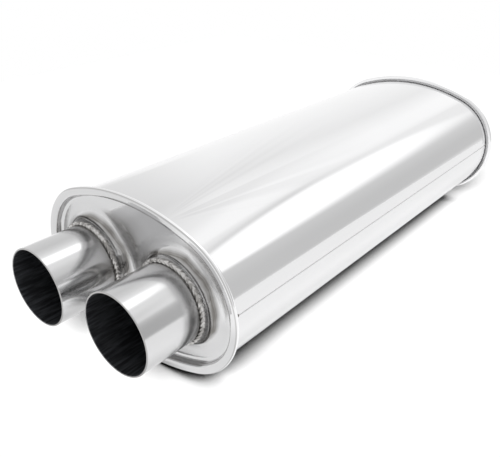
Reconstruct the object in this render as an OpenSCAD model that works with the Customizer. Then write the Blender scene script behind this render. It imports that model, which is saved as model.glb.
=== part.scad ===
// Straight-through oval exhaust muffler with two inlets and two outlets.
// The body lies along Y with its middle at the origin, and +Z is up.
// The pipe ends that face -Y are called front, and the -X side is called left.
// It is drawn standing on its rear end and laid down at the end, so inside the modules
// z runs along the body towards the front, and y is up.

/* [Shell] */
// Width of the oval shell
shell_width = 200; // [190:1:230]
// Height of the oval shell
shell_height = 128; // [120:1:150]
// Radius of the shell's two narrow ends
end_radius = 56; // [50:0.5:58]
// Length of the body from rim face to rim face
body_length = 457; // [300:1:610]
// Thickness of the shell's sheet
shell_wall = 1; // [0.8:0.1:1.5]

/* [End caps] */
// Thickness of the caps' sheet
cap_wall = 1.5; // [1:0.1:2]
// How far the rim stands out from the shell
rim_out = 5; // [4.5:0.1:7]
// Radius of the rim's rounded inner edge
nose_radius = 3.5; // [2.5:0.1:4]
// Depth of the pressed plate behind the rim face
plate_depth = 7.5; // [7:0.5:15]
// Radius of the bend between the plate and the rim
plate_bend = 3; // [1.5:0.5:3.5]
// Angle by which the hem wraps round the shell's flare
hem_wrap = 35; // [20:1:50]
// Gap between the folded sheets
fold_gap = 0.1; // [0.05:0.05:0.2]

/* [Pipes] */
// Outside diameter of the pipes
pipe_diameter = 63.5; // [50:0.5:66]
// Wall of the pipes
pipe_wall = 1.5; // [1.2:0.1:2.5]
// Distance between the axes of the two pipes
pipe_spacing = 90; // [88:1:96]
// How far a pipe's mouth stands in front of the rim face
pipe_reach = 53; // [30:1:90]
// How far a pipe reaches into the body behind the plate
pipe_inside = 20; // [17:1:40]
// Chamfer at the pipes' mouths
pipe_chamfer = 0.3; // [0.1:0.1:0.5]
// How much the neck of a pipe is swelled in radius in front of its weld
shank_step = 0.4; // [0.35:0.05:0.8]
// Radius of the fillet at the foot of a drawn collar
collar_fillet = 8; // [5:0.5:9]
// Height of the collar above the plate
collar_height = 9.5; // [9:0.5:14]
// Gap between a pipe and its collar
collar_gap = 0.1; // [0.05:0.05:0.3]

/* [Welds] */
// Radius of the weld bead's round
bead_radius = 2.3; // [1.8:0.1:2.8]
// Number of ripples round a bead
bead_ripples = 48; // [30:1:60]
// Depth of the ripples
ripple_depth = 0.35; // [0:0.05:0.6]
// Gap between a weld and the faces that it sits on
weld_gap = 0.03; // [0.02:0.01:0.1]
// Distance from a bead to the full-size neck of the pipe
bead_clear = 0.6; // [0.4:0.1:2]

/* [Shell seam] */
// Height of the seam above the middle of the body
seam_height = 7; // [-30:1:30]
// Width of the seam
seam_width = 0.8; // [0.5:0.1:1.5]
// Depth of the seam weld below the shell's face
seam_depth = 0.3; // [0.1:0.1:0.5]
// Diameter of the notch at each end of the seam
notch_diameter = 2.4; // [1.6:0.1:3]
// Distance from the rim face to the notch
notch_distance = 8; // [8:0.5:20]

/* [Cores] */
// Wall of the perforated core tubes
core_wall = 1.2; // [1:0.1:1.6]
// Clearance all round between a core and its pipe
core_gap = 0.1; // [0.05:0.05:0.3]
// Length of a core that sits inside each pipe
core_overlap = 15; // [8:1:17]
// Diameter of the perforations
hole_diameter = 6; // [3:0.5:9]
// Number of holes in one ring
holes_around = 12; // [8:1:14]
// Distance between the rings of holes along the core
hole_pitch = 15; // [12:0.5:24]
// Plain length between a pipe's inner end and the first ring
hole_margin = 10; // [6:1:20]
// Size of the fillet weld between core and pipe
core_weld_leg = 1.6; // [1:0.1:2]

/* [Filling] */
// Thickness of the steel wool sleeve round a core
wool_thickness = 4; // [2:0.5:6]
// Gap round the wool and at its ends
wool_gap = 0.2; // [0.1:0.05:0.3]
// Gap round the packing
packing_gap = 0.3; // [0.1:0.05:0.5]

/* [Hidden] */

half_length = body_length / 2;
LEFT = -1;
RIGHT = 1;

// The oval is four arcs that meet with a common tangent: two end arcs and two flatter crowns
end_centre = shell_width / 2 - end_radius;
crown_radius = (pow(end_centre, 2) + pow(shell_height / 2, 2) - pow(end_radius, 2))
    / (shell_height - 2 * end_radius);
crown_drop = crown_radius - shell_height / 2;
tangent_angle = atan2(crown_drop, end_centre);
spare_angle = 3;
beyond = shell_width + body_length;

// The rim is a stack of three sheets: cap, the shell's flange and the cap's hem
curl_radius = cap_wall + fold_gap + shell_wall / 2;
curl_x = rim_out - curl_radius;
flare_radius = curl_x;
flare_y = -(cap_wall + fold_gap + shell_wall + flare_radius);
hem_radius = flare_radius - fold_gap;
rim_wall_x = -(shell_wall + fold_gap + cap_wall);
plate_edge_x = rim_wall_x - plate_bend;
joint_overlap = 1.5;

pipe_radius = pipe_diameter / 2;
bore_radius = pipe_radius - pipe_wall;
shank_radius = pipe_radius - shank_step;
shank_bore = bore_radius - shank_step;
pipe_inner_end = -(plate_depth + cap_wall + pipe_inside);
lip_inner = shank_radius + collar_gap;
lip_outer = lip_inner + cap_wall;
collar_foot = lip_outer + collar_fillet;
collar_top = collar_height - plate_depth;
bead_centre = [(shank_radius + lip_outer) / 2, collar_top + cap_wall / 3];
neck_start = bead_centre[1] + bead_radius + bead_clear + shank_step;

core_radius = shank_bore - core_gap;
core_length = body_length + 2 * (pipe_inner_end + core_overlap);
perforated_length = body_length + 2 * (pipe_inner_end - hole_margin);
hole_rings = floor(perforated_length / hole_pitch) + 1;
wool_inner = core_radius + wool_gap;
wool_outer = wool_inner + wool_thickness;
wool_length = body_length + 2 * (pipe_inner_end - core_weld_leg - wool_gap);
packing_length = body_length - 2 * (plate_depth + cap_wall + packing_gap);

round_fn = 96;
bend_fn = 32;
crown_fn = 360;

// A strip of sheet bent about the origin, from one angle to another
module bend(inner, outer, from, to) {
    far = 2 * outer;
    middle = (from + to) / 2;
    intersection() {
        difference() {
            circle(r = outer, $fn = bend_fn);
            circle(r = inner, $fn = bend_fn);
        }
        polygon([[0, 0], far * [cos(from), sin(from)], far * [cos(middle), sin(middle)],
            far * [cos(to), sin(to)]]);
    }
}

// One quarter of a profile carried round the oval. Both arcs start at the tangent point.
module quarter_sweep() {
    intersection() {
        translate([end_centre, 0, 0]) rotate([0, 0, tangent_angle]) translate([end_radius, 0, 0]) {
            translate([-end_radius, 0, 0]) mirror([0, 1, 0])
                rotate_extrude(angle = tangent_angle + spare_angle, $fn = crown_fn)
                    translate([end_radius, 0]) children();
            translate([-crown_radius, 0, 0])
                rotate_extrude(angle = 90 - tangent_angle + spare_angle, $fn = crown_fn)
                    translate([crown_radius, 0]) children();
        }
        translate([0, 0, -beyond]) cube([beyond, beyond, 2 * beyond]);
    }
}

// A profile carried all round the oval: its x is the distance outside the shell, its y is z
module sweep_oval() {
    for (flip_x = [0, 1], flip_y = [0, 1])
        mirror([flip_x, 0, 0]) mirror([0, flip_y, 0]) quarter_sweep() children();
}

// The oval outline as an area, grown by a distance
module oval(grow) {
    for (side = [-1, 1]) translate([side * end_centre, 0]) circle(r = end_radius + grow, $fn = round_fn);
    for (turn = [0, 180]) rotate([0, 0, turn]) intersection() {
        translate([0, -crown_drop]) circle(r = crown_radius + grow, $fn = crown_fn);
        polygon([[end_centre, 0], [end_centre, 0] + beyond * [cos(tangent_angle), sin(tangent_angle)],
            [-end_centre, 0] + beyond * [-cos(tangent_angle), sin(tangent_angle)], [-end_centre, 0]]);
    }
}

// Children drawn with z = 0 at the front rim face go to the front end or, mirrored, to the rear
module at_front() {
    translate([0, 0, half_length]) children();
}

module at_rear() {
    mirror([0, 0, 1]) at_front() children();
}

module on_axis(side) {
    translate([side * pipe_spacing / 2, 0, 0]) children();
}

module lay_down() {
    rotate([90, 0, 0]) children();
}

// Flared edge of the shell, from its straight wall to the round tip of its flange
module flange_profile() {
    translate([flare_radius, flare_y]) bend(flare_radius, flare_radius + shell_wall, 90, 180);
    translate([curl_x, -curl_radius]) bend(0, shell_wall / 2, -90, 90);
}

module shell_profile() {
    translate([-shell_wall, -half_length - flare_y])
        square([shell_wall, 2 * (half_length + flare_y)]);
    for (flip = [0, 1]) mirror([0, flip]) translate([0, half_length]) flange_profile();
}

// Where the seam runs: z along it, x out of the shell, at the shell's face
module at_seam() {
    translate([end_centre, 0, 0]) rotate([0, 0, asin(seam_height / end_radius)])
        translate([end_radius, 0, 0]) children();
}

module shell_body() {
    slot_length = body_length - 2 * notch_distance;
    difference() {
        sweep_oval() shell_profile();
        at_seam() {
            translate([-2 * shell_wall, -seam_width / 2, -slot_length / 2])
                cube([3 * shell_wall, seam_width, slot_length]);
            for (end = [-1, 1]) translate([-2 * shell_wall, 0, end * slot_length / 2])
                rotate([0, 90, 0]) cylinder(d = notch_diameter, h = 3 * shell_wall, $fn = bend_fn);
        }
    }
}

module seam_bead() {
    bead_length = body_length - 2 * notch_distance - notch_diameter;
    intersection() {
        translate([end_centre, 0, -bead_length / 2]) difference() {
            cylinder(r = end_radius - seam_depth, h = bead_length, $fn = crown_fn);
            translate([0, 0, -1]) cylinder(r = end_radius - shell_wall, h = bead_length + 2, $fn = crown_fn);
        }
        at_seam() translate([-2 * shell_wall, -seam_width / 2, -bead_length])
            cube([3 * shell_wall, seam_width, 2 * bead_length]);
    }
}

// Section of the cap's rim: plate edge, bend, wall, nose, front leg, curl and hem
module rim_profile() {
    wall_length = plate_depth - plate_bend - nose_radius;
    translate([plate_edge_x - 2 * joint_overlap, -plate_depth - cap_wall])
        square([2 * joint_overlap, cap_wall]);
    translate([plate_edge_x, plate_bend - plate_depth])
        bend(plate_bend, plate_bend + cap_wall, 270, 360);
    translate([rim_wall_x, plate_bend - plate_depth]) square([cap_wall, wall_length]);
    translate([rim_wall_x + nose_radius, -nose_radius])
        bend(nose_radius - cap_wall, nose_radius, 90, 180);
    translate([rim_wall_x + nose_radius, -cap_wall])
        square([curl_x - rim_wall_x - nose_radius, cap_wall]);
    translate([curl_x, -curl_radius]) bend(curl_radius - cap_wall, curl_radius, -90, 0);
    translate([curl_x, -curl_radius]) bend(curl_radius - cap_wall, curl_radius, 0, 90);
    translate([flare_radius, flare_y]) bend(hem_radius - cap_wall, hem_radius, 90, 90 + hem_wrap);
}

// Section of a drawn collar: x is the distance from the pipe's axis
module collar_profile() {
    translate([lip_inner, collar_fillet - plate_depth])
        square([cap_wall, collar_height - collar_fillet]);
    translate([collar_foot, collar_fillet - plate_depth])
        bend(collar_fillet, collar_fillet + cap_wall, 180, 270);
    translate([collar_foot, -plate_depth - cap_wall]) square([2 * joint_overlap, cap_wall]);
}

module cap() {
    difference() {
        union() {
            sweep_oval() rim_profile();
            translate([0, 0, -plate_depth - cap_wall])
                linear_extrude(height = cap_wall) oval(plate_edge_x - joint_overlap);
        }
        for (side = [LEFT, RIGHT]) on_axis(side) translate([0, 0, -plate_depth - 2 * cap_wall])
            cylinder(r = collar_foot + joint_overlap, h = 3 * cap_wall, $fn = round_fn);
    }
    for (side = [LEFT, RIGHT]) on_axis(side) rotate_extrude($fn = round_fn) collar_profile();
}

module pipe() {
    rotate_extrude($fn = round_fn) polygon([
        [shank_bore, pipe_inner_end], [shank_radius, pipe_inner_end],
        [shank_radius, neck_start - shank_step], [pipe_radius, neck_start],
        [pipe_radius, pipe_reach - pipe_chamfer], [pipe_radius - pipe_chamfer, pipe_reach],
        [bore_radius + pipe_chamfer, pipe_reach], [bore_radius, pipe_reach - pipe_chamfer],
        [bore_radius, neck_start], [shank_bore, neck_start - shank_step]]);
}

// Section of a weld bead at one ripple height: a seat on the pipe and the collar's lip, and a round
function bead_section(radius, round_steps) =
    let (seat = [shank_radius + weld_gap, collar_top + weld_gap])
    concat([seat], [for (i = [0:round_steps])
        let (a = 118 - i * 138 / round_steps, p = bead_centre + radius * [cos(a), sin(a)])
        [max(p[0], seat[0]), max(p[1], seat[1])]]);

module bead() {
    round_steps = 5;
    steps = 3 * bead_ripples;
    count = round_steps + 2;
    points = [for (i = [0:steps - 1])
        let (a = 360 * i / steps, ripple = ripple_depth * (1 - cos(360 * i / 3)) / 2)
        for (p = bead_section(bead_radius - ripple, round_steps)) [p[0] * cos(a), p[0] * sin(a), p[1]]];
    faces = [for (i = [0:steps - 1], j = [0:count - 1])
        let (next_i = (i + 1) % steps, next_j = (j + 1) % count)
        [i * count + j, i * count + next_j, next_i * count + next_j, next_i * count + j]];
    polyhedron(points = points, faces = faces, convexity = 4);
}

// Perforated tube: each ring of holes is turned half a step from the last
module core() {
    first_ring = -(hole_rings - 1) / 2;
    difference() {
        cylinder(r = core_radius, h = core_length, center = true, $fn = round_fn);
        cylinder(r = core_radius - core_wall, h = core_length + 2, center = true, $fn = round_fn);
        for (ring = [0:hole_rings - 1], hole = [0:holes_around - 1])
            rotate([0, 0, (hole + (ring % 2) / 2) * 360 / holes_around])
                translate([core_radius - 2 * core_wall, 0, (first_ring + ring) * hole_pitch])
                    rotate([0, 90, 0]) cylinder(d = hole_diameter, h = 3 * core_wall, $fn = bend_fn);
    }
}

// Fillet weld between a pipe's inner end and the core that leaves it
module core_bead() {
    rotate_extrude($fn = round_fn) polygon([
        [core_radius + weld_gap, pipe_inner_end - weld_gap], [core_radius + core_weld_leg, pipe_inner_end - weld_gap],
        [core_radius + weld_gap, pipe_inner_end - core_weld_leg]]);
}

module wool() {
    difference() {
        cylinder(r = wool_outer, h = wool_length, center = true, $fn = round_fn);
        cylinder(r = wool_inner, h = wool_length + 2, center = true, $fn = round_fn);
    }
}

// Half of the shell's inside, with a hole for the wool
module packing(side) {
    difference() {
        intersection() {
            linear_extrude(height = packing_length, center = true) oval(-shell_wall - packing_gap);
            translate([side * (beyond + packing_gap) / 2, 0, 0]) cube([beyond, beyond, beyond], center = true);
        }
        on_axis(side) cylinder(r = wool_outer + wool_gap, h = beyond, center = true, $fn = round_fn);
    }
}

module shell() color("gainsboro") lay_down() shell_body();
module seam_weld() color("gray") lay_down() seam_bead();
module front_cap() color("silver") lay_down() at_front() cap();
module rear_cap() color("silver") lay_down() at_rear() cap();
module front_pipe(side) color("lightgray") lay_down() at_front() on_axis(side) pipe();
module rear_pipe(side) color("lightgray") lay_down() at_rear() on_axis(side) pipe();
module weld_front(side) color("whitesmoke") lay_down() at_front() on_axis(side) bead();
module weld_rear(side) color("whitesmoke") lay_down() at_rear() on_axis(side) bead();
module core_tube(side) color("darkgray") lay_down() on_axis(side) core();
module core_weld(side) color("gray") lay_down() at_front() on_axis(side) core_bead();
module wool_sleeve(side) color("slategray") lay_down() on_axis(side) wool();
module packing_block(side) color("khaki") lay_down() packing(side);

shell();
seam_weld();
front_cap();
rear_cap();
front_pipe(LEFT);  // front_pipe_left
front_pipe(RIGHT);  // front_pipe_right
rear_pipe(LEFT);  // rear_pipe_left
rear_pipe(RIGHT);  // rear_pipe_right
weld_front(LEFT);  // weld_front_left
weld_front(RIGHT);  // weld_front_right
weld_rear(LEFT);  // weld_rear_left
weld_rear(RIGHT);  // weld_rear_right
core_tube(LEFT);  // core_left
core_tube(RIGHT);  // core_right
core_weld(LEFT);  // core_weld_left
core_weld(RIGHT);  // core_weld_right
wool_sleeve(LEFT);  // wool_left
wool_sleeve(RIGHT);  // wool_right
packing_block(LEFT);  // packing_left
packing_block(RIGHT);  // packing_right
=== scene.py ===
"""Looks of an oval exhaust muffler: polished sheet, pressed caps, neck tubes, weld beads and a studio."""
import math

import bmesh
import bpy
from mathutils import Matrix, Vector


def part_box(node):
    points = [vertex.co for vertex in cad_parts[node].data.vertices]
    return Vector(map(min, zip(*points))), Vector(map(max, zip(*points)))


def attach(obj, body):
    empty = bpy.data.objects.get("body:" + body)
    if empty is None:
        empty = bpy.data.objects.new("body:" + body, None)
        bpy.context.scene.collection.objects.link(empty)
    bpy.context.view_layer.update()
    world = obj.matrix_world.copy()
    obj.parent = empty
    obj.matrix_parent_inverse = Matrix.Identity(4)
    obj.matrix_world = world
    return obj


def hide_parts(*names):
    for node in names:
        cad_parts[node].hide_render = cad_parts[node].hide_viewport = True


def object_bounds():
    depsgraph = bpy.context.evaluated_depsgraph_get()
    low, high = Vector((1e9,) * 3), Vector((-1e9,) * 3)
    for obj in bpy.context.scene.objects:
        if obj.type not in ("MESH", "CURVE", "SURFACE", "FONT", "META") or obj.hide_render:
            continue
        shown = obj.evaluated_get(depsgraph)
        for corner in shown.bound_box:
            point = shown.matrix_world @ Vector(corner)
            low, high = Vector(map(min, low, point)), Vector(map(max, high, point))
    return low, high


bl_info = {
    "name": "Oval muffler",
    "version": (1, 0, 0),
    "blender": (4, 5, 0),
    "location": "View3D > Sidebar > Muffler",
    "description": "Builds a polished oval muffler and its studio stage",
    "category": "Object",
}

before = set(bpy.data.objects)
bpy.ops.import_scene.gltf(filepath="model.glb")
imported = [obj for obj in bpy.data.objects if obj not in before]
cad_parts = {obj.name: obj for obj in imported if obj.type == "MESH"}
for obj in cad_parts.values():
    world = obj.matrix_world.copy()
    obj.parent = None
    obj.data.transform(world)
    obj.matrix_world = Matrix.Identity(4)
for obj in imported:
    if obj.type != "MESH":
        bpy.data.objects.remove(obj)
CAD_BOX = [list(corner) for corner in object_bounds()]
MM = 0.001
FRONT, REAR = -1, 1
LEFT, RIGHT = -1, 1
END_NAMES = {FRONT: "front", REAR: "rear"}
SIDE_NAMES = {LEFT: "left", RIGHT: "right"}
BLACK, WHITE = (0.0, 0.0, 0.0), (1.0, 1.0, 1.0)
MIRROR_IOR = 2.5


def frame_span(node, axis):
    """Length of a solid along one axis, to a tenth of a millimetre."""
    low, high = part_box(node)
    return round((high[axis] - low[axis]) / MM, 1) * MM


def frame_middle(node, axis):
    """Middle of a solid along one axis, to a tenth of a millimetre."""
    low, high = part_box(node)
    return round((high[axis] + low[axis]) / 2 / MM, 1) * MM


# Sizes that come from the frame, and the sheets that they are worked out with
CAP_WALL = 1.5 * MM
FOLD_GAP = 0.1 * MM
PIPE_WALL = 1.5 * MM
PIPE_DIAMETER = frame_span("front_pipe_left", 0)
PIPE_LENGTH = frame_span("front_pipe_left", 1)
PIPE_AXIS = frame_middle("front_pipe_right", 0)
HALF_LENGTH = frame_span("shell", 1) / 2 + CAP_WALL + FOLD_GAP
PIPE_REACH = -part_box("front_pipe_right")[0][1] - HALF_LENGTH

# Fineness of the meshes: steps of the arcs, collars and tubes, then of the beads, the body and the seam
END_STEPS = 72
CROWN_STEPS = 56
COLLAR_STEPS = 128
TUBE_STEPS = 160
RIPPLE_STEPS = 10
BEAD_PARTS = 14
BODY_ROWS = 40
SEAM_STEPS = range(-8, 9)

# Brightness that the metal mirrors, by a direction's share of the half turn from +X over the top to -X
STUDIO_LEVELS = (
    (0.00, 0.577), (0.09, 0.577), (0.14, 0.60), (0.21, 0.645), (0.28, 0.72), (0.36, 0.87), (0.56, 0.885),
    (0.68, 0.94), (0.74, 0.85), (0.80, 0.885), (0.89, 0.91), (1.00, 0.91),
)


def length_property(name, description, default):
    """A length in metres, not negative."""
    return bpy.props.FloatProperty(
        name=name, description=description, default=default, min=0.0, precision=5, unit="LENGTH")


def colour_property(name, description, default):
    """A colour as red, green and blue."""
    return bpy.props.FloatVectorProperty(
        name=name, description=description, default=default, min=0.0, max=1.0, size=3, subtype="COLOR")


def share_property(name, description, default):
    """A share from 0 to 1."""
    return bpy.props.FloatProperty(
        name=name, description=description, default=default, min=0.0, max=1.0, subtype="FACTOR")


class MufflerSizes(bpy.types.PropertyGroup):
    """Real sizes of the muffler."""
    shell_width: length_property("Shell width", "Width of the oval shell", 200 * MM)
    shell_height: length_property("Shell height", "Height of the oval shell", 128 * MM)
    end_radius: length_property("End radius", "Radius of the shell's narrow ends", 56 * MM)
    shell_wall: length_property("Shell sheet", "Thickness of the shell's sheet", 1.0 * MM)
    cap_wall: length_property("Cap sheet", "Thickness of the caps' sheet", CAP_WALL)
    fold_gap: length_property("Fold gap", "Gap between the folded sheets", FOLD_GAP)
    rim_out: length_property("Rim", "How far the rim stands out from the shell", 4.99 * MM)
    nose_radius: length_property("Rim edge", "Radius of the rim's rounded inner edge", 3.5 * MM)
    plate_depth: length_property("Recess", "Depth of the plate behind the rim face", 7.5 * MM)
    plate_bend: length_property("Plate bend", "Radius between the plate and the rim", 3 * MM)
    hem_wrap: bpy.props.FloatProperty(
        name="Hem wrap", description="Angle of the hem round the flare", default=math.radians(35),
        subtype="ANGLE")
    collar_fillet: length_property("Collar fillet", "Radius at the foot of a collar", 8 * MM)
    collar_height: length_property("Collar height", "Height of a collar above the plate", 9.5 * MM)
    collar_gap: length_property("Collar gap", "Gap between a pipe and its collar", 0.1 * MM)
    pipe_diameter: length_property("Pipe diameter", "Outside diameter of the pipes", PIPE_DIAMETER)
    pipe_wall: length_property("Pipe wall", "Wall of the pipes", PIPE_WALL)
    shank_step: length_property("Neck swell", "How much a pipe's neck is swelled in radius", 0.4 * MM)
    bead_clear: length_property("Bead clear", "Distance from a bead to the swell", 0.6 * MM)
    bead_radius: length_property("Bead radius", "Radius of the weld beads", 2.3 * MM)
    ripple_depth: length_property("Ripple depth", "Depth of the ripples in a bead", 0.7 * MM)
    bead_ripples: bpy.props.IntProperty(name="Ripples", description="Ripples round a bead", default=48)
    seam_height: length_property("Seam height", "Height of the seam above the middle", 7 * MM)
    seam_width: length_property("Seam width", "Width of the seam", 0.8 * MM)
    seam_depth: length_property("Seam depth", "Depth of the seam weld", 0.3 * MM)
    notch_diameter: length_property("Notch", "Diameter of the notch at the seam's ends", 2.4 * MM)
    notch_distance: length_property("Notch place", "Distance of the notch behind the rim face", 8 * MM)


class MufflerFinish(bpy.types.PropertyGroup):
    """Colours and gloss of the metals."""
    steel: colour_property("Polished steel", "Colour of the polished steel", (0.80, 0.80, 0.805))
    steel_roughness: share_property("Polish", "Roughness of the polished sheet", 0.07)
    # The bore is painted near-black: partly its bare dull wall, partly painted shade.
    bore_colour_and_shade: colour_property("Pipe inside", "Colour of the bare inside", (0.042, 0.044, 0.048))
    bead: colour_property("Weld bead", "Colour of the weld beads", (0.66, 0.65, 0.64))
    bead_roughness: share_property("Bead roughness", "Roughness of the weld beads", 0.26)
    # The heat tint is also the colour of the painted shade at the shell's fold and on the caps' rim wall
    # and front line.
    tint: colour_property("Heat tint", "Colour left by the heat beside a weld", (0.19, 0.181, 0.170))
    seam: colour_property("Seam", "Colour of the seam weld", (0.16, 0.145, 0.13))
    core: colour_property("Core", "Colour of the perforated cores", (0.10, 0.10, 0.10))
    wool: colour_property("Steel wool", "Colour of the steel wool", (0.22, 0.21, 0.20))
    fibre: colour_property("Glass fibre", "Colour of the packing", (0.80, 0.74, 0.55))


class MufflerStudio(bpy.types.PropertyGroup):
    """Camera, floor and light."""
    camera_place: bpy.props.FloatVectorProperty(
        name="Camera", description="Place of the camera", default=(0.3222, -0.47618, 0.24784), size=3,
        subtype="XYZ", unit="LENGTH")
    azimuth: bpy.props.FloatProperty(
        name="Azimuth", description="Direction of the view round the muffler",
        default=math.radians(39.676), subtype="ANGLE")
    elevation: bpy.props.FloatProperty(
        name="Elevation", description="Height of the view above the horizon",
        default=math.radians(27.283), subtype="ANGLE")
    lens: bpy.props.FloatProperty(
        name="Lens", description="Focal length on a 36 mm wide picture", default=44.146, unit="CAMERA")
    floor: colour_property("Floor", "Colour of the floor", (0.95, 0.95, 0.95))
    floor_size: length_property("Floor size", "Length of the floor's sides", 1.8)
    floor_lift: share_property("Floor lift", "Brightness added to the floor that is seen", 0.10)
    contact: length_property("Contact shade", "How far off the muffler still shades the floor", 24 * MM)
    sky_light: share_property("Sky light", "Plain light from all round", 0.13)
    lamp_light: bpy.props.FloatProperty(name="Lamp", description="Strength of the soft lamp", default=4.9)
    lamp_azimuth: bpy.props.FloatProperty(
        name="Lamp azimuth", description="Direction of the lamp round the muffler",
        default=math.radians(28.0), subtype="ANGLE")
    lamp_elevation: bpy.props.FloatProperty(
        name="Lamp elevation", description="Height of the lamp above the horizon",
        default=math.radians(34.0), subtype="ANGLE")
    lamp_softness: bpy.props.FloatProperty(
        name="Lamp softness", description="Angle over which the lamp's light comes",
        default=math.radians(24.0), subtype="ANGLE")


class Value:
    """One output socket of a node; an expression on values adds Math nodes."""

    def __init__(self, graph, socket):
        self.graph = graph
        self.socket = socket

    def math(self, operation, first, second=0.0):
        return self.graph.node("ShaderNodeMath", {"operation": operation}, {0: first, 1: second})[0]

    def __add__(self, other):
        return self.math("ADD", self, other)

    __radd__ = __add__

    def __sub__(self, other):
        return self.math("SUBTRACT", self, other)

    def __rsub__(self, other):
        return self.math("SUBTRACT", other, self)

    def __mul__(self, other):
        return self.math("MULTIPLY", self, other)

    __rmul__ = __mul__

    def __truediv__(self, other):
        return self.math("DIVIDE", self, other)

    def __rtruediv__(self, other):
        return self.math("DIVIDE", other, self)

    def __pow__(self, other):
        return self.math("POWER", self, other)

    def __abs__(self):
        return self.math("ABSOLUTE", self)


class Outputs:
    """The outputs of a node, by name or number."""

    def __init__(self, graph, node):
        self.graph = graph
        self.node = node

    def __getitem__(self, key):
        return Value(self.graph, self.node.outputs[key])


class Graph:
    """A node tree that is built from expressions."""

    def __init__(self, tree):
        self.tree = tree
        tree.nodes.clear()

    def node(self, kind, settings=None, inputs=None):
        """Adds a node: its settings first, then the value or link of each socket."""
        made = self.tree.nodes.new(kind)
        for name, value in (settings or {}).items():
            if name == "stops":
                self.set_stops(made.color_ramp, value)
            else:
                setattr(made, name, value)
        for name, value in (inputs or {}).items():
            if isinstance(value, Value):
                self.tree.links.new(value.socket, made.inputs[name])
            else:
                made.inputs[name].default_value = value
        return Outputs(self, made)

    @staticmethod
    def set_stops(ramp, stops):
        """Gives a ramp its grey levels."""
        while len(ramp.elements) < len(stops):
            ramp.elements.new(1.0)
        for element, (place, level) in zip(ramp.elements, stops):
            element.position = place
            element.color = (level, level, level, 1.0)

    def mix(self, factor, first, second):
        """Mixes two colours."""
        colours = [value if isinstance(value, Value) else (*value, 1.0) for value in (first, second)]
        return self.node("ShaderNodeMix", {"data_type": "RGBA", "clamp_factor": True},
                         {0: factor, 6: colours[0], 7: colours[1]})[2]

    def band(self, value, start, end):
        """0 before start, 1 after end, smooth between."""
        return self.node("ShaderNodeMapRange", {"interpolation_type": "SMOOTHSTEP"},
                         {"Value": value, "From Min": start, "From Max": end})["Result"]

    def fade(self, value, start, end):
        """1 before start, 0 after end, smooth between."""
        return 1.0 - self.band(value, start, end)

    def larger(self, first, second):
        """The larger of two values."""
        return self.node("ShaderNodeMath", {"operation": "MAXIMUM"}, {0: first, 1: second})[0]

    def place(self):
        """X, Y and Z of the shaded point in the row's frame."""
        here = self.node("ShaderNodeTexCoord")["Object"]
        split = self.node("ShaderNodeSeparateXYZ", None, {0: here})
        return split["X"], split["Y"], split["Z"]

    def noise(self, scale, along=1.0, detail=2.0):
        """Noise of a scale per metre; a share of it along the muffler draws it out to streaks."""
        here = self.node("ShaderNodeTexCoord")["Object"]
        there = self.node("ShaderNodeMapping", None, {"Vector": here, "Scale": (1.0, along, 1.0)})
        return self.node("ShaderNodeTexNoise", None,
                         {"Vector": there["Vector"], "Scale": scale, "Detail": detail})["Fac"]

    def noise_along(self, value, scale, detail):
        """Noise that changes with one value only."""
        return self.node("ShaderNodeTexNoise", {"noise_dimensions": "1D"},
                         {"W": value, "Scale": scale, "Detail": detail})["Fac"]

    def bump(self, height, strength, distance):
        """Normal that follows a height; distance is what a height of 1 stands for."""
        return self.node("ShaderNodeBump", None,
                         {"Strength": strength, "Distance": distance, "Height": height})["Normal"]


def new_finish(name, colour, roughness, metallic, normal):
    """Makes a material; colour and normal are functions of its graph, and roughness may be one."""
    material = bpy.data.materials.new(name)
    material.use_nodes = True
    graph = Graph(material.node_tree)
    shader = graph.node("ShaderNodeBsdfPrincipled", None, {
        "Base Color": colour(graph),
        "Roughness": roughness(graph) if callable(roughness) else roughness,
        "Metallic": metallic,
        "IOR": MIRROR_IOR,
        "Normal": normal(graph),
    })
    graph.node("ShaderNodeOutputMaterial", None, {"Surface": shader["BSDF"]})
    return material


def share_of(colour, share):
    """A colour with a share of its brightness."""
    return tuple(share * part for part in colour)


def distance_from_pipe(graph):
    """Distance of the shaded point from the axis of the nearer pipe, in millimetres."""
    x, _, z = graph.place()
    aside = abs(x) - PIPE_AXIS
    return (aside * aside + z * z) ** 0.5 / MM


def behind_rim_face(graph):
    """Distance of the shaded point behind the nearer rim face, in millimetres."""
    return HALF_LENGTH / MM - abs(graph.place()[1]) / MM


def beyond_rim_face(graph):
    """Distance of the shaded point along a neck from its rim face, in millimetres."""
    return abs(graph.place()[1]) / MM - HALF_LENGTH / MM


def height_over_shell(graph, sizes):
    """Distance of the shaded point outside the oval shell, in millimetres, negative inside."""
    x, _, z = graph.place()
    oval = Oval(sizes)
    x, z = abs(x), abs(z)
    from_end_arc = ((x - oval.centre) * (x - oval.centre) + z * z) ** 0.5 - oval.end_radius
    from_crown = (x * x + (z + oval.drop) * (z + oval.drop)) ** 0.5 - oval.crown_radius
    at_end = graph.band((x - oval.centre) * (oval.drop / oval.centre) - z, -0.1 * MM, 0.1 * MM)
    return (from_crown + at_end * (from_end_arc - from_crown)) / MM


def painted_reflection_streaks(graph):
    """Painted reflection streaks: faint rays on the crown that spread from a point ahead of the front
    rim, 0 to 1.
    """
    aside, ahead = 38 * MM, 10 * MM
    x, y, z = graph.place()
    away = y + HALF_LENGTH
    turn = (x - aside) / (away + ahead)
    rays = graph.band(graph.noise_along(turn, 11.0, 1.0), 0.40, 0.62) * graph.fade(abs(turn), 0.16, 0.34)
    rays = rays * graph.fade(away, 60 * MM, 300 * MM) * graph.band(away, 4 * MM, 30 * MM)
    return rays * graph.band(z, 40 * MM, 56 * MM)


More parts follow.
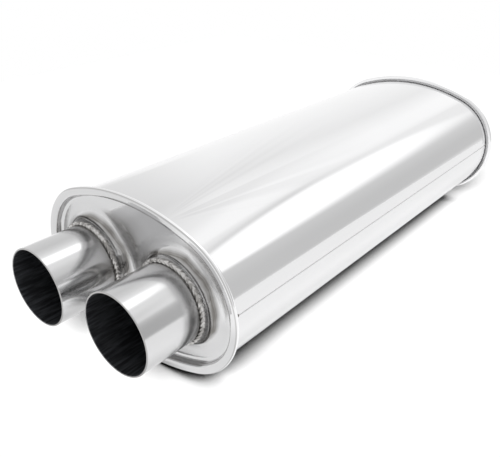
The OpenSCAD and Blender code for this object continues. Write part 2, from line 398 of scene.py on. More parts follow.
def seam_mark(graph, sizes):
    """The seam's thin line on the +X side and the notch at each of its ends, 0 to 1."""
    x, _, z = graph.place()
    above = abs(z / MM - sizes.seam_height / MM)
    beyond_notch = behind_rim_face(graph) - sizes.notch_distance / MM
    line = graph.fade(above, 0.35, 0.75) * graph.band(beyond_notch, -0.4, 0.2)
    reach = (above * above + beyond_notch * beyond_notch) ** 0.5
    notch = graph.fade(reach, 1.0, 1.5)
    return graph.larger(0.03 * line, notch) * graph.band(x, 0.0, 10 * MM)


def polished_sheet(name, finish, sizes):
    """Mirror-polished sheet: faint waves, painted reflection streaks on the crown, painted shade below
    and at the rough fold.
    """
    steel, tint = tuple(finish.steel), tuple(finish.tint)

    def colour(graph):
        polish = graph.mix(graph.noise(9.0), steel, share_of(steel, 0.965))
        # Painted shade: the lower side is darkened towards black, where the mirrored floor is in shadow.
        painted_underside_shade = graph.fade(graph.place()[2], -24 * MM, -6 * MM)
        # The painted reflection streaks on the crown also darken the colour towards black.
        polish = graph.mix(0.08 * painted_reflection_streaks(graph) + 0.26 * painted_underside_shade, polish, BLACK)
        # Painted shade at the fold just behind each rim face, where the dark hem is mirrored, in the
        # heat-tint colour.
        fold = graph.fade(behind_rim_face(graph), 3.4, 4.4)
        polish = graph.mix(0.1 * fold, polish, tint)
        return graph.mix(seam_mark(graph, sizes), polish, tuple(finish.seam))

    def roughness(graph):
        fold = graph.fade(behind_rim_face(graph), 4.2, 5.4)
        return finish.steel_roughness + 0.35 * fold + 0.03 * graph.noise(60.0, along=0.08, detail=4.0)

    def normal(graph):
        waves = graph.noise(7.0, along=0.35, detail=1.0)
        lines = graph.noise(900.0, along=0.02)
        return graph.bump(waves + 0.0015 * lines, 0.35, 1.2 * MM)

    return new_finish(name, colour, roughness, 1.0, normal)


def collar_tint(graph):
    """Heat tint in uneven rings on a collar and round its foot, 0 to a little over 1."""
    away = distance_from_pipe(graph)
    uneven = away + 4.0 * graph.noise(50.0, detail=3.0) - 2.0
    rings = graph.noise_along(uneven, 1.1, 2.0)
    cloud = 0.9 * graph.noise(90.0, detail=3.0) + 0.1
    tint = graph.fade(uneven, 35.5, 39.5) * (cloud + 0.7 * rings)
    return tint * (0.55 + 0.45 * graph.band(away, 33.5, 35.0))


def pressed_sheet(name, finish, sizes):
    """Pressing with a plainer polish than the shell and heat tint on its collars.

    The plate has a painted highlight beside the +X collar, against the dark side of the tube that it
    mirrors.
    The rim has painted shade on its inner wall, a painted dark line where the front rim is creased and a
    painted highlight on its hem.
    """
    plain, tint = share_of(finish.steel, 0.79), tuple(finish.tint)
    light, painted_hem_highlight = share_of(finish.steel, 1.2), share_of(finish.steel, 1.12)

    def colour(graph):
        x, y, z = graph.place()
        away, behind = distance_from_pipe(graph), behind_rim_face(graph)
        over = graph.band(height_over_shell(graph, sizes), 0.2, 0.8)
        # Painted highlight: the plate is lightened beside the +X collar, against the dark side of the
        # tube that it mirrors.
        painted_highlight_zone = graph.band(x, 40 * MM, 70 * MM) * graph.band(z, -10 * MM, 10 * MM)
        painted_highlight_zone = painted_highlight_zone * graph.band(away, 38.0, 42.0)
        polish = graph.mix(painted_highlight_zone * (0.55 + 0.45 * graph.band(behind, 3.5, 5.5)), plain, light)
        # Painted shade on the rim's inner wall in the recess, less of it beside the +X collar, in the
        # heat-tint colour.
        wall = (1.0 - over) * graph.band(behind, 1.0, 2.5) * graph.fade(behind, 4.8, 6.5)
        wall = 0.4 * wall * (1.0 - 0.9 * painted_highlight_zone) * graph.band(away, 36.0, 38.0)
        polish = graph.mix(collar_tint(graph) + wall, polish, tint)
        # Painted shade: a dark line where the front rim is creased, front end only.
        painted_front_line_shade = graph.band(behind, 0.25, 0.45) * graph.fade(behind, 0.8, 1.0)
        painted_front_line_shade = painted_front_line_shade * graph.fade(y, -100 * MM, 100 * MM)
        polish = graph.mix(0.4 * over * painted_front_line_shade, polish, tint)
        # Painted highlight: the hem is coloured lighter than the steel.
        return graph.mix(over * graph.band(behind, 0.9, 1.3), polish, painted_hem_highlight)

    def roughness(graph):
        away = distance_from_pipe(graph)
        foot = graph.band(away, 38.5, 41.0) * graph.fade(away, 46.0, 53.0)
        return finish.steel_roughness - 0.02 + 0.2 * foot + 0.03 * graph.noise(80.0, detail=4.0)

    def normal(graph):
        return graph.bump(graph.noise(22.0), 0.35, 0.8 * MM)

    return new_finish(name, colour, roughness, 1.0, normal)


def polished_tube(name, finish):
    """Polished tube outside, with heat shade at its bead, painted shade on its lower side and a darker
    cut edge.

    The inside is bare and painted near-black, partly its dull wall and partly painted shade. It is told
    apart by the distance from the tube's axis.
    """
    steel, tint = share_of(finish.steel, 0.87), tuple(finish.tint)
    bare = tuple(finish.bore_colour_and_shade)
    bore = (PIPE_DIAMETER / 2 - PIPE_WALL) / MM
    mouth = PIPE_REACH / MM

    def inside(graph):
        return graph.fade(distance_from_pipe(graph), bore + 0.25, bore + 0.6)

    def colour(graph):
        streaks = graph.band(graph.noise(420.0, along=0.12, detail=4.0), 0.35, 0.75)
        # Painted shade: the bore is near-black with faint streaks.
        dark = graph.mix(streaks, bare, share_of(bare, 3.5))
        beyond = beyond_rim_face(graph)
        heat = 0.38 * graph.fade(beyond, 3.0, 24.0) + 0.38 * graph.fade(beyond, 3.0, 12.0)
        cloud = 0.55 + 0.9 * graph.noise(45.0, detail=3.0)
        polish = graph.mix(heat * cloud, steel, tint)
        # Painted shade: the lower side is darkened towards black, where the mirrored floor is darker.
        painted_underside_shade = graph.fade(graph.place()[2], -18 * MM, 0.0)
        polish = graph.mix(0.36 * painted_underside_shade, polish, BLACK)
        # The colour is darker at the mouth's cut edge.
        cut_edge = graph.band(beyond, mouth - 0.5, mouth - 0.2)
        polish = graph.mix(0.5 * cut_edge, polish, tint)
        return graph.mix(inside(graph), polish, dark)

    def roughness(graph):
        heat = graph.fade(beyond_rim_face(graph), 4.0, 24.0)
        grain = graph.noise(90.0, along=0.1, detail=4.0)
        return finish.steel_roughness + 0.05 + 0.06 * heat + 0.42 * inside(graph) + 0.05 * grain

    def normal(graph):
        return graph.bump(graph.noise(14.0, detail=1.0), 0.12, 0.5 * MM)

    return new_finish(name, colour, roughness, 1.0, normal)


def weld_metal(name, finish):
    """Bright rippled weld with darker patches of heat tint."""
    def colour(graph):
        patches = graph.band(graph.noise(260.0, detail=3.0), 0.42, 0.62)
        return graph.mix(0.2 + 0.55 * patches, tuple(finish.bead), tuple(finish.tint))

    def normal(graph):
        return graph.bump(graph.noise(1500.0, detail=3.0), 0.3, 0.05 * MM)

    return new_finish(name, colour, finish.bead_roughness, 1.0, normal)


def dull_metal(name, colour, roughness, grain, depth):
    """Plain rough metal, or a mat of it, with a fine grain."""
    def shade(graph):
        return graph.mix(graph.noise(grain, detail=4.0), tuple(colour), share_of(colour, 0.55))

    def normal(graph):
        return graph.bump(graph.noise(2.5 * grain, detail=4.0), 0.6, depth)

    return new_finish(name, shade, roughness, 0.7, normal)


def matted_fibre(name, colour):
    """Matted glass fibre."""
    def shade(graph):
        return graph.mix(graph.noise(180.0, along=0.2, detail=6.0), tuple(colour), share_of(colour, 0.7))

    def normal(graph):
        return graph.bump(graph.noise(700.0, along=0.15, detail=4.0), 0.8, 0.6 * MM)

    return new_finish(name, shade, 0.95, 0.0, normal)


def arc(centre, radius, start, end, steps, facing=1):
    """Points of an arc in degrees, each with its normal; facing -1 turns the normals to the centre."""
    points = []
    for step in range(steps + 1):
        angle = math.radians(start + (end - start) * step / steps)
        across, along = math.cos(angle), math.sin(angle)
        place = (centre[0] + radius * across, centre[1] + radius * along)
        points.append((*place, facing * across, facing * along))
    return points


class Oval:
    """The shell's outline: two end arcs and two flatter crowns that meet with a common tangent."""

    def __init__(self, sizes):
        self.end_radius = sizes.end_radius
        self.centre = sizes.shell_width / 2 - sizes.end_radius
        half_height = sizes.shell_height / 2
        self.crown_radius = ((self.centre ** 2 + half_height ** 2 - sizes.end_radius ** 2)
                             / (sizes.shell_height - 2 * sizes.end_radius))
        self.drop = self.crown_radius - half_height
        self.tangent = math.degrees(math.atan2(self.drop, self.centre))

    def ring(self, extra=()):
        """Points of the outline with their normals, in order; extra angles go to the +X end arc."""
        tangent = self.tangent
        right, top, left, bottom = (self.centre, 0), (0, -self.drop), (-self.centre, 0), (0, self.drop)
        angles = {-tangent + 2 * tangent * step / END_STEPS for step in range(END_STEPS)}
        points = []
        for angle in sorted(angles | set(extra)):
            points += arc(right, self.end_radius, angle, angle, 1)[:1]
        points += arc(top, self.crown_radius, tangent, 180 - tangent, CROWN_STEPS)[:-1]
        points += arc(left, self.end_radius, 180 - tangent, 180 + tangent, END_STEPS)[:-1]
        points += arc(bottom, self.crown_radius, 180 + tangent, 360 - tangent, CROWN_STEPS)[:-1]
        return points


class Solid:
    """A mesh under construction, with a normal for each of its points."""

    def __init__(self):
        self.mesh = bmesh.new()
        self.normals = []

    def point(self, place, normal=(0, 0, 1)):
        """Adds a point; one whose normal is computed from the faces needs none."""
        self.normals.append(normal)
        return self.mesh.verts.new(place)

    def skin(self, rows, closed):
        """Joins rows of points by quads; each row is a closed ring, and closed joins last to first."""
        count = len(rows)
        for index in range(count if closed else count - 1):
            row, following = rows[index], rows[(index + 1) % count]
            for corner in range(len(row)):
                after = (corner + 1) % len(row)
                self.mesh.faces.new((row[corner], row[after], following[after], following[corner]))

    def fill(self, loops):
        """Fills a flat outline with holes."""
        edges = []
        for loop in loops:
            for first, second in zip(loop, loop[1:] + loop[:1]):
                edges.append(self.mesh.edges.get((first, second)) or self.mesh.edges.new((first, second)))
        bmesh.ops.triangle_fill(self.mesh, use_beauty=True, use_dissolve=False, edges=edges)

    def finish(self, name, material, computed=()):
        """Makes the object; points in computed keep the normals that the faces give them."""
        bmesh.ops.recalc_face_normals(self.mesh, faces=self.mesh.faces[:])
        data = bpy.data.meshes.new(name)
        self.mesh.to_mesh(data)
        self.mesh.free()
        data.polygons.foreach_set("use_smooth", [True] * len(data.polygons))
        normals = [list(normal) for normal in self.normals]
        for index in computed:
            normals[index] = list(data.vertices[index].normal)
        data.normals_split_custom_set_from_vertices(normals)
        data.materials.append(material)
        piece = bpy.data.objects.new(name, data)
        bpy.context.scene.collection.objects.link(piece)
        return piece


def place_round_pipe(end, side, angle, radius, along):
    """Place at an angle and a radius from a pipe's axis, and along it from the rim face."""
    across, up = radius * math.cos(angle), radius * math.sin(angle)
    return (side * PIPE_AXIS + across, end * (HALF_LENGTH + along), up)


def sweep_rows(solid, ring, profile, end):
    """Carries a profile round the oval; one row of points for each point of the profile."""
    rows = []
    for out, along, normal_out, normal_along in profile:
        row = []
        for x, z, out_x, out_z in ring:
            place = (x + out * out_x, end * (HALF_LENGTH + along), z + out * out_z)
            normal = (normal_out * out_x, end * normal_along, normal_out * out_z)
            row.append(solid.point(place, normal))
        rows.append(row)
    return rows


def turn_rows(solid, end, side, profile, steps):
    """Carries a profile round the axis of a pipe; one row of points for each point of the profile."""
    rows = []
    for radius, along, normal_out, normal_along in profile:
        row = []
        for step in range(steps):
            angle = 2 * math.pi * step / steps
            normal = (normal_out * math.cos(angle), end * normal_along, normal_out * math.sin(angle))
            row.append(solid.point(place_round_pipe(end, side, angle, radius, along), normal))
        rows.append(row)
    return rows


def fold_sizes(sizes):
    """Radius of the curl, then radius and place of the flare, from the thickness of the folded sheets."""
    curl = sizes.cap_wall + sizes.fold_gap + sizes.shell_wall / 2
    flare = sizes.rim_out - curl
    flare_along = -(sizes.cap_wall + sizes.fold_gap + sizes.shell_wall + flare)
    return curl, flare, flare_along


def rim_profile(sizes):
    """Section of a cap's rim, from the plate's face over the curl and the hem to the plate's back."""
    curl, flare, flare_along = fold_sizes(sizes)
    sheet, bend, nose = sizes.cap_wall, sizes.plate_bend, sizes.nose_radius
    wall = -(sizes.shell_wall + sizes.fold_gap + sheet)
    bend_at = (wall - bend, bend - sizes.plate_depth)
    nose_at = (wall + nose, -nose)
    curl_at = (flare, -curl)
    flare_at = (flare, flare_along)
    hem = flare - sizes.fold_gap
    tip_radius = hem - sheet / 2
    last = 90 + math.degrees(sizes.hem_wrap) - math.degrees(sheet / 2 / tip_radius)
    tip_at = (flare_at[0] + tip_radius * math.cos(math.radians(last)),
              flare_at[1] + tip_radius * math.sin(math.radians(last)))
    return (arc(bend_at, bend, 270, 360, 10, -1)
            + arc(nose_at, nose, 180, 90, 12)
            + arc(curl_at, curl, 90, -90, 20)
            + arc(flare_at, hem - sheet, 90, last, 3, -1)[1:]
            + arc(tip_at, sheet / 2, last + 180, last, 8)[1:-1]
            + arc(flare_at, hem, last, 90, 3)
            + arc(curl_at, curl - sheet, -90, 90, 8, -1)[1:]
            + arc(nose_at, nose - sheet, 90, 180, 6, -1)
            + arc(bend_at, bend + sheet, 360, 270, 6))


def collar_profile(sizes):
    """Section of a drawn collar, from the plate's face over the lip to the plate's back.

    Where the sheet was drawn in, its face stays a little dished, so the normals lean out round the foot.
    """
    round_edge, dish = 0.3 * MM, math.radians(12)
    dish_steps, dish_step = 3, 1.1 * MM
    inner = sizes.pipe_diameter / 2 - sizes.shank_step + sizes.collar_gap
    outer = inner + sizes.cap_wall
    foot = (outer + sizes.collar_fillet, sizes.collar_fillet - sizes.plate_depth)
    top = sizes.collar_height - sizes.plate_depth
    face = []
    for step in range(dish_steps, -1, -1):
        lean = dish * (1 - step / dish_steps)
        face.append((foot[0] + step * dish_step, -sizes.plate_depth, math.sin(lean), math.cos(lean)))
    for out, along, normal_out, normal_along in arc(foot, sizes.collar_fillet, 270, 180, 20, -1)[1:]:
        lean = min(math.hypot(math.atan2(normal_out, normal_along), dish), math.pi / 2)
        face.append((out, along, math.sin(lean), math.cos(lean)))
    return (face
            + arc((outer - round_edge, top - round_edge), round_edge, 0, 90, 4)
            + arc((inner + round_edge, top - round_edge), round_edge, 90, 180, 4)
            + arc(foot, sizes.collar_fillet + sizes.cap_wall, 180, 270, 12))


def build_cap(end, sizes, material):
    """One pressed end cap: rim, plate and two collars as one closed skin."""
    solid = Solid()
    rim = sweep_rows(solid, Oval(sizes).ring(), rim_profile(sizes), end)
    solid.skin(rim, False)
    collars = []
    for side in (LEFT, RIGHT):
        rows = turn_rows(solid, end, side, collar_profile(sizes), COLLAR_STEPS)
        solid.skin(rows, False)
        collars.append(rows)
    solid.fill([rim[0]] + [rows[0] for rows in collars])
    solid.fill([rim[-1]] + [rows[-1] for rows in collars])
    name = END_NAMES[end] + "_cap"
    piece = solid.finish(name + "_pressing", material)
    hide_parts(name)
    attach(piece, "root")


def tube_profile(sizes):
    """Section of a neck tube: full size beyond its bead, a little thinner where it sits in the collar."""
    edge, ease, lift = 0.45 * MM, 0.3 * MM, 0.05 * MM
    slope = (0.9, -0.4)
    radius = sizes.pipe_diameter / 2
    bore = radius - sizes.pipe_wall
    shank, shank_bore = radius - sizes.shank_step, bore - sizes.shank_step
    inner_end = PIPE_REACH - PIPE_LENGTH
    bead_middle = sizes.collar_height - sizes.plate_depth + sizes.cap_wall / 3
    swell = bead_middle + sizes.bead_radius + sizes.bead_clear
    neck = swell + sizes.shank_step
    return ([(shank, inner_end, 1, 0), (shank, swell - ease, 1, 0), (shank + lift, swell, *slope),
             (radius - lift, neck, *slope), (radius, neck + ease, 1, 0)]
            + arc((radius - edge, PIPE_REACH - edge), edge, 0, 90, 6)
            + arc((bore + edge, PIPE_REACH - edge), edge, 90, 180, 6)
            + [(bore, neck, -1, 0), (shank_bore, swell, -1, 0), (shank_bore, inner_end, -1, 0)])


def build_pipe(end, side, sizes, material):
    """One neck tube with softly rounded mouth edges."""
    solid = Solid()
    solid.skin(turn_rows(solid, end, side, tube_profile(sizes), TUBE_STEPS), True)
    name = END_NAMES[end] + "_pipe_" + SIDE_NAMES[side]
    piece = solid.finish(name + "_tube", material)
    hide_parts(name)
    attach(piece, "root")


def bead_row(solid, end, side, sizes, turn):
    """Points across a bead at one turn round the pipe; the last one lies in the bead's root."""
    shank = sizes.pipe_diameter / 2 - sizes.shank_step
    middle = shank + (sizes.collar_gap + sizes.cap_wall) / 2
    top = sizes.collar_height - sizes.plate_depth
    angle = 2 * math.pi * turn
    uneven = 1 + 0.05 * math.sin(3 * angle + side) + 0.04 * math.sin(7 * angle + 2 * end)
    row = []
    for part in range(BEAD_PARTS + 1):
        share = part / BEAD_PARTS
        lean = math.radians(105 - 150 * share)
        crescent = 0.9 * (2 * share - 1) ** 2
        phase = turn * sizes.bead_ripples + crescent + 0.25 * math.sin(5 * angle)
        dip = sizes.ripple_depth * (1 - abs(math.sin(math.pi * phase)) ** 0.6)
        radius = sizes.bead_radius * uneven - dip
        out = max(middle + radius * math.cos(lean), shank)
        along = top + sizes.cap_wall / 3 + radius * math.sin(lean)
        row.append(solid.point(place_round_pipe(end, side, angle, out, along)))
    row.append(solid.point(place_round_pipe(end, side, angle, shank, top)))
    return row


def build_bead(end, side, sizes, material):
    """One rippled weld bead: overlapping crescents round the pipe, a little uneven like hand work."""
    steps = RIPPLE_STEPS * sizes.bead_ripples
    solid = Solid()
    solid.skin([bead_row(solid, end, side, sizes, step / steps) for step in range(steps)], True)
    name = "weld_" + END_NAMES[end] + "_" + SIDE_NAMES[side]
    piece = solid.finish(name + "_bead", material, range(len(solid.normals)))
    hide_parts(name)
    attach(piece, "root")


def seam_step(sizes):
    """Distance between the points beside the seam and in its notches; four of them span the seam."""
    return sizes.seam_width / 4


def flange_profile(sizes):
    """Section of the shell's end: the outer wall beside the notch, the flange and the inner wall."""
    _, flare, flare_along = fold_sizes(sizes)
    wall = sizes.shell_wall
    middle = -(sizes.cap_wall + sizes.fold_gap + wall / 2)
    beside_notch = [(0.0, step * seam_step(sizes) - sizes.notch_distance, 1, 0) for step in SEAM_STEPS]
    return (beside_notch
            + arc((flare, flare_along), flare, 180, 90, 10, -1)
            + arc((flare, middle), wall / 2, -90, 90, 6)[1:]
            + arc((flare, flare_along), flare + wall, 90, 180, 8))


def press_seam(solid, oval, sizes):
    """Presses the seam's groove and its two notches into the outer wall; gives the points round them."""
    margin, tolerance, deepest = 8.5 * seam_step(sizes), 0.05 * MM, 0.9 * MM
    seam_angle = math.asin(sizes.seam_height / oval.end_radius)
    notch = sizes.notch_diameter / 2
    touched = set()
    solid.mesh.verts.ensure_lookup_table()
    for index, point in enumerate(solid.mesh.verts):
        x, along, z = point.co
        radius = math.hypot(x - oval.centre, z)
        aside = (math.atan2(z, x - oval.centre) - seam_angle) * oval.end_radius
        if x < oval.centre or abs(radius - oval.end_radius) > tolerance or abs(aside) > margin:
            continue
        from_notch = HALF_LENGTH - sizes.notch_distance - abs(along)
        depth = 0.0
        if from_notch > 0 and abs(aside) < sizes.seam_width / 2 - 0.01 * MM:
            depth = sizes.seam_depth
        reach = math.hypot(aside, from_notch)
        if reach < notch:
            depth = max(depth, deepest * (1 - (reach / notch) ** 4))
        share = (radius - depth) / radius
        point.co.x = oval.centre + (x - oval.centre) * share
        point.co.z = z * share
        if from_notch > -margin:
            touched.add(index)
    return touched


def build_shell(sizes, material):
    """The rolled shell with flared ends, its seam groove and the notches at the seam's ends."""
    oval = Oval(sizes)
    seam_angle = math.degrees(math.asin(sizes.seam_height / oval.end_radius))
    step_angle = math.degrees(seam_step(sizes) / oval.end_radius)
    ring = oval.ring(seam_angle + step * step_angle for step in SEAM_STEPS)
    solid = Solid()
    front = sweep_rows(solid, ring, flange_profile(sizes), FRONT)
    body = HALF_LENGTH - sizes.notch_distance - 10 * seam_step(sizes)
    middle = []
    for row in range(BODY_ROWS + 1):
        along = -body + 2 * body * row / BODY_ROWS
        middle.append([solid.point((x, along, z), (out_x, 0, out_z)) for x, z, out_x, out_z in ring])
    rear = sweep_rows(solid, ring, flange_profile(sizes), REAR)
    solid.skin(front[::-1] + middle + rear, True)
    piece = solid.finish("shell_sheet", material, press_seam(solid, oval, sizes))
    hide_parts("shell")
    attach(piece, "root")


def dress_node(node, material):
    """Gives a solid of the frame its finish."""
    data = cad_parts[node].data
    data.materials.clear()
    data.materials.append(material)


class MUFFLER_OT_shell(bpy.types.Operator):
    """Build the polished shell with its seam"""
    bl_idname = "muffler.shell"
    bl_label = "Shell"

    def execute(self, context):
        scene = context.scene
        sizes, finish = scene.muffler_sizes, scene.muffler_finish
        build_shell(sizes, polished_sheet("polished_shell_sheet", finish, sizes))
        dress_node("seam_weld", dull_metal("ground_seam", finish.seam, 0.35, 300.0, 0.05 * MM))
        return {"FINISHED"}


class MUFFLER_OT_caps(bpy.types.Operator):
    """Build the two pressed end caps"""
    bl_idname = "muffler.caps"
    bl_label = "End caps"

    def execute(self, context):
        scene = context.scene
        material = pressed_sheet("pressed_cap_sheet", scene.muffler_finish, scene.muffler_sizes)
        for end in (FRONT, REAR):
            build_cap(end, scene.muffler_sizes, material)
        return {"FINISHED"}


class MUFFLER_OT_pipes(bpy.types.Operator):
    """Build the four neck tubes"""
    bl_idname = "muffler.pipes"
    bl_label = "Pipes"

    def execute(self, context):
        scene = context.scene
        material = polished_tube("polished_neck_tube", scene.muffler_finish)
        for end in (FRONT, REAR):
            for side in (LEFT, RIGHT):
                build_pipe(end, side, scene.muffler_sizes, material)
        return {"FINISHED"}


class MUFFLER_OT_welds(bpy.types.Operator):
    """Build the four rippled weld beads"""
    bl_idname = "muffler.welds"
    bl_label = "Weld beads"

    def execute(self, context):
        scene = context.scene
        material = weld_metal("rippled_weld", scene.muffler_finish)
        for end in (FRONT, REAR):
            for side in (LEFT, RIGHT):
                build_bead(end, side, scene.muffler_sizes, material)
        return {"FINISHED"}


class MUFFLER_OT_inside(bpy.types.Operator):
    """Give the cores, the wool and the packing their finish"""
    bl_idname = "muffler.inside"
    bl_label = "Cores and filling"

    def execute(self, context):
        finish = context.scene.muffler_finish
        core = dull_metal("perforated_core_sheet", finish.core, 0.5, 200.0, 0.03 * MM)
        joint = dull_metal("core_weld_metal", finish.tint, 0.45, 400.0, 0.1 * MM)
        wool = dull_metal("steel_wool_mat", finish.wool, 0.6, 900.0, 0.4 * MM)
        fibre = matted_fibre("glass_fibre_mat", finish.fibre)
        for side in SIDE_NAMES.values():
            dress_node("core_" + side, core)
            dress_node("core_weld_" + side, joint)
            dress_node("wool_" + side, wool)
            dress_node("packing_" + side, fibre)
        return {"FINISHED"}


def build_floor(studio):
    """Plain pale floor, lifted to white for the camera and for mirrors, with the lamp's shadow and a
    painted contact shadow.
    """
    most_covered, edge_power = 0.585, 2.6
    half, level = studio.floor_size / 2, CAD_BOX[0][2]
    corners = [(-half, -half, level), (half, -half, level), (half, half, level), (-half, half, level)]
    data = bpy.data.meshes.new("floor")
    data.from_pydata(corners, [], [(0, 1, 2, 3)])
    floor = bpy.data.objects.new("floor", data)
    bpy.context.scene.collection.objects.link(floor)
    material = bpy.data.materials.new("pale_floor")
    material.use_nodes = True
    graph = Graph(material.node_tree)
    around = graph.node("ShaderNodeAmbientOcclusion", {"samples": 16}, {"Distance": studio.contact})
    covered = graph.node("ShaderNodeMath", {"operation": "DIVIDE", "use_clamp": True},
                         {0: 1.0 - around["AO"], 1: most_covered})[0]
    # Painted contact shadow: ambient occlusion darkens the floor's colour and its lift near the muffler.
    lit = 1.0 - covered ** edge_power
    colour = graph.mix(lit, BLACK, tuple(studio.floor))
    plain = graph.node("ShaderNodeBsdfDiffuse", None, {"Color": colour})
    rays = graph.node("ShaderNodeLightPath")
    seen = rays["Is Camera Ray"] + rays["Is Glossy Ray"] + rays["Is Transmission Ray"]
    lift = graph.node("ShaderNodeEmission", None,
                      {"Color": graph.mix(seen * lit, BLACK, WHITE), "Strength": studio.floor_lift})
    both = graph.node("ShaderNodeAddShader", None, {0: plain["BSDF"], 1: lift["Emission"]})[0]
    graph.node("ShaderNodeOutputMaterial", None, {"Surface": both})
    data.materials.append(material)


def lay_strip(graph, level, height, lower, upper, brightness):
    """Lays a soft strip over a level; lower and upper are the height and the softness of its edges."""
    (low, low_soft), (high, high_soft) = lower, upper
    mask = graph.band(height, low - low_soft, low + low_soft)
    mask = mask * graph.fade(height, high - high_soft, high + high_soft)
    return level + mask * (brightness - level)


def side_strips(graph, level, slope, height):
    """The bright strip over the shell's right side, a dark line along its upper edge and a glow there.

    The strip's edges move with the slope, so that they bend towards the far end of the shell.
    """
    bend_at, turn_at = 0.84, 1.28
    before = graph.larger(turn_at - slope, 0.0)
    after = graph.larger(slope - turn_at, 0.0)
    crown_edge = 91.0 - 90.0 * before * before - 33.0 * after * after
    dark_line = 0.17 * graph.fade(slope, 1.10, 1.30) * graph.band(slope, 0.62, 0.80)
    level = lay_strip(graph, level, height, (crown_edge + 2.0, 2.0), (crown_edge + 9.0, 4.0),
                      level * (1.0 - dark_line))
    along = slope - bend_at
    side_edge = 39.4 + 7.0 * along + 7.0 * along * along
    side_soft = 3.0 + 11.0 * graph.larger(along, 0.0)
    brightness = 1.01 + 0.34 * graph.band(slope, 0.66, 0.82) - 0.185 * graph.band(slope, 1.6, 2.1)
    level = lay_strip(graph, level, height, (side_edge, side_soft), (crown_edge, 4.0), brightness)
    near_rim = graph.fade(slope, 0.60, 0.68)
    glow_edge = 91.0 + 20.0 * graph.band(slope, 0.55, 1.15)
    lower, upper = (glow_edge - 9.0 - 4.0 * near_rim, 4.0), (glow_edge + 8.0, 5.0)
    return lay_strip(graph, level, height, lower, upper, 1.18 + 0.72 * near_rim)


def mirrored_studio(graph):
    """Brightness of the room that the metal mirrors: soft strips along the muffler, darker in front.

    The height of a direction round the Y axis is in degrees from +X over the top, and its slope is the
    share along +Y, so both are constant along a straight reflection on the shell or a pipe.
    """
    room_gain, floor_level, never_zero = 1.175, 1.06, 0.0001
    split = graph.node("ShaderNodeSeparateXYZ", None, {0: graph.node("ShaderNodeTexCoord")["Generated"]})
    x, y, z = split["X"], split["Y"], split["Z"]
    slope = y / (x * x + z * z + never_zero) ** 0.5
    height = graph.node("ShaderNodeMath", {"operation": "ARCTAN2"}, {0: z, 1: x})[0] * math.degrees(1)
    levels = graph.node("ShaderNodeValToRGB", {"stops": STUDIO_LEVELS}, {0: abs(height) / 180.0})["Color"]
    level = graph.node("ShaderNodeRGBToBW", None, {0: levels})[0] * room_gain
    left_shade = 0.22 * graph.fade(slope, 0.60, 0.95) * graph.band(height, 104.0, 122.0)
    right_shade = 0.20 * graph.fade(slope, 0.6, 0.8) * graph.fade(height, 22.0, 42.0)
    level = side_strips(graph, level * (1.0 - left_shade) * (1.0 - right_shade), slope, height)
    facing = 0.55 * x - 0.70 * y + 0.45 * z
    front = 1.0 - 0.14 * graph.band(facing, 0.35, 0.75)
    level = front + graph.band(y, -0.05, 0.25) * (level - front)
    return level + graph.fade(z, -0.16, -0.02) * (floor_level - level)


def build_world(studio):
    """White for the camera, plain soft light on the floor, and the mirrored studio for the metal."""
    world = bpy.data.worlds.new("studio")
    bpy.context.scene.world = world
    world.use_nodes = True
    graph = Graph(world.node_tree)
    rays = graph.node("ShaderNodeLightPath")
    mirrored = rays["Is Glossy Ray"] * graph.fade(rays["Diffuse Depth"], 0.2, 0.8)
    strength = studio.sky_light + mirrored * (mirrored_studio(graph) - studio.sky_light)
    strength = strength + rays["Is Camera Ray"] * (1.0 - strength)
    light = graph.node("ShaderNodeBackground", None, {"Color": (*WHITE, 1.0), "Strength": strength})
    graph.node("ShaderNodeOutputWorld", None, {"Surface": light["Background"]})


def build_lamp(studio):
    """One large soft light above the camera's side."""
    lamp = bpy.data.objects.new("soft_lamp", bpy.data.lights.new("soft_lamp", "SUN"))
    lamp.data.energy = studio.lamp_light
    lamp.data.angle = studio.lamp_softness
    lamp.rotation_euler = (math.pi / 2 - studio.lamp_elevation, 0.0, studio.lamp_azimuth)
    lamp.visible_glossy = False
    bpy.context.scene.collection.objects.link(lamp)


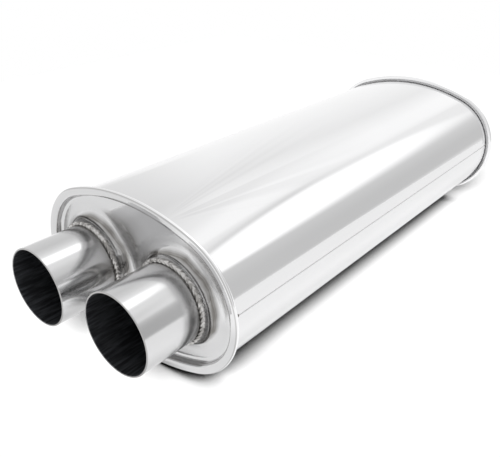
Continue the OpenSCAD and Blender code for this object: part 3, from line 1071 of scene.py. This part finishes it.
def build_camera(studio):
    """Camera that sees the muffler from the front right, a little from above."""
    camera = bpy.data.objects.new("camera", bpy.data.cameras.new("camera"))
    camera.data.lens = studio.lens
    camera.data.sensor_width = 36.0
    camera.data.clip_start = 0.01
    camera.location = studio.camera_place
    camera.rotation_euler = (math.pi / 2 - studio.elevation, 0.0, studio.azimuth)
    bpy.context.scene.collection.objects.link(camera)
    bpy.context.scene.camera = camera


class MUFFLER_OT_stage(bpy.types.Operator):
    """Build the floor, the light and the camera"""
    bl_idname = "muffler.stage"
    bl_label = "Stage"

    def execute(self, context):
        studio = context.scene.muffler_studio
        build_camera(studio)
        build_floor(studio)
        build_world(studio)
        build_lamp(studio)
        context.scene.view_settings.view_transform = "Standard"
        return {"FINISHED"}


class MUFFLER_PT_panel(bpy.types.Panel):
    """Sizes, finishes and build steps of the muffler"""
    bl_idname = "MUFFLER_PT_panel"
    bl_label = "Muffler"
    bl_space_type = "VIEW_3D"
    bl_region_type = "UI"
    bl_category = "Muffler"

    def draw(self, context):
        scene = context.scene
        for operator in OPERATORS:
            self.layout.operator(operator.bl_idname)
        for group in (scene.muffler_sizes, scene.muffler_finish, scene.muffler_studio):
            box = self.layout.box()
            for name in group.bl_rna.properties.keys():
                if name not in ("rna_type", "name"):
                    box.prop(group, name)


GROUPS = (MufflerSizes, MufflerFinish, MufflerStudio)
OPERATORS = (MUFFLER_OT_stage, MUFFLER_OT_shell, MUFFLER_OT_caps, MUFFLER_OT_pipes, MUFFLER_OT_welds,
             MUFFLER_OT_inside)
CLASSES = GROUPS + OPERATORS + (MUFFLER_PT_panel,)


def register():
    for cls in CLASSES:
        bpy.utils.register_class(cls)
    bpy.types.Scene.muffler_sizes = bpy.props.PointerProperty(type=MufflerSizes)
    bpy.types.Scene.muffler_finish = bpy.props.PointerProperty(type=MufflerFinish)
    bpy.types.Scene.muffler_studio = bpy.props.PointerProperty(type=MufflerStudio)


def unregister():
    del bpy.types.Scene.muffler_studio
    del bpy.types.Scene.muffler_finish
    del bpy.types.Scene.muffler_sizes
    for cls in reversed(CLASSES):
        bpy.utils.unregister_class(cls)


def main():
    register()
    bpy.ops.muffler.stage()
    bpy.ops.muffler.shell()
    bpy.ops.muffler.caps()
    bpy.ops.muffler.pipes()
    bpy.ops.muffler.welds()
    bpy.ops.muffler.inside()


if __name__ == "__main__":
    main()
